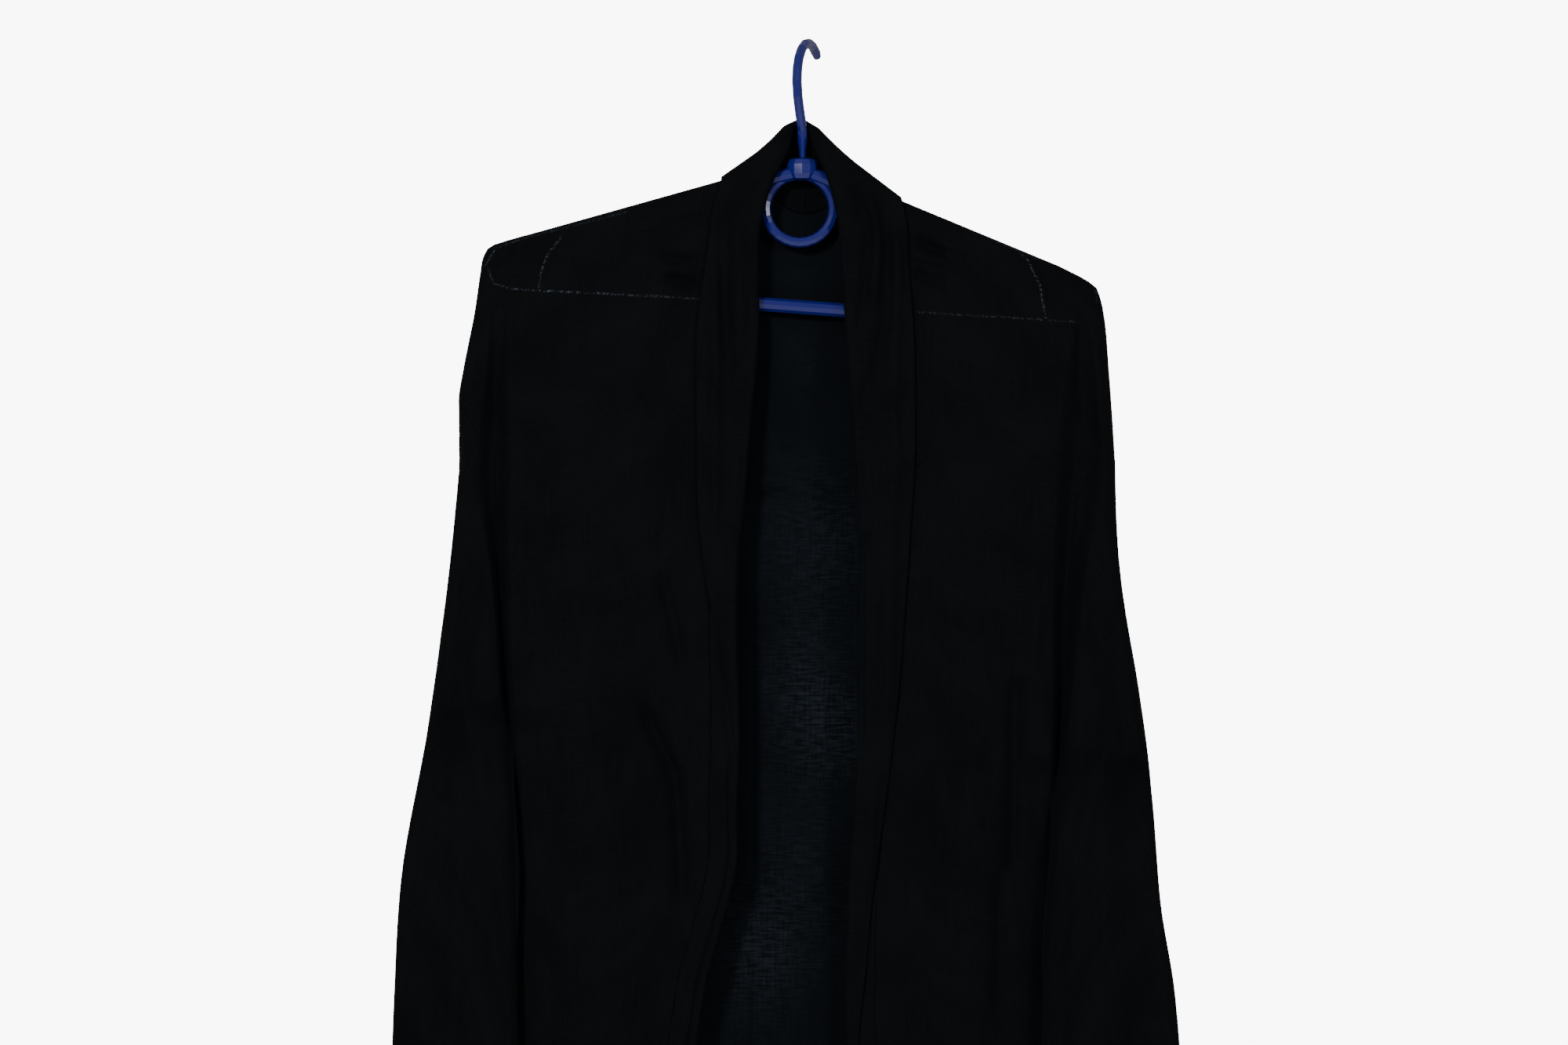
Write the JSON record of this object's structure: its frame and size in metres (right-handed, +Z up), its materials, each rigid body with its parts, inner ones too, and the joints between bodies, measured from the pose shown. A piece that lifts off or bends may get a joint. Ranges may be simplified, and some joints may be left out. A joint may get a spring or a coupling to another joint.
{
  "type": "wrap cardigan on a hanger",
  "caption": "Open-front wrap cardigan in fine black jersey with a folded collar band and long sleeves, hanging on a tubular blue plastic hanger.",
  "frame": {"origin": "inner top of the hanger's hook, where a rail carries it", "axes": "+Z up, +X to the viewer's right, the front of the garment faces -Y"},
  "size_m": [0.5272, 0.0586, 0.8545],
  "materials": {
    "jersey": "fine black jersey, soft and matt",
    "plastic": "smooth moulded blue plastic"
  },
  "bodies": {
    "root": {"back": "jersey", "front_right": "jersey", "front_left": "jersey", "sleeve_right": "jersey", "sleeve_left": "jersey", "collar_right": "jersey", "collar_left": "jersey", "hanger_arm_right": "plastic", "hanger_arm_left": "plastic", "hanger_bar": "plastic", "hanger_arc_right": "plastic", "hanger_arc_left": "plastic", "hanger_ring": "plastic", "hanger_boss": "plastic", "hook": "plastic"}
  },
  "joints": []
}
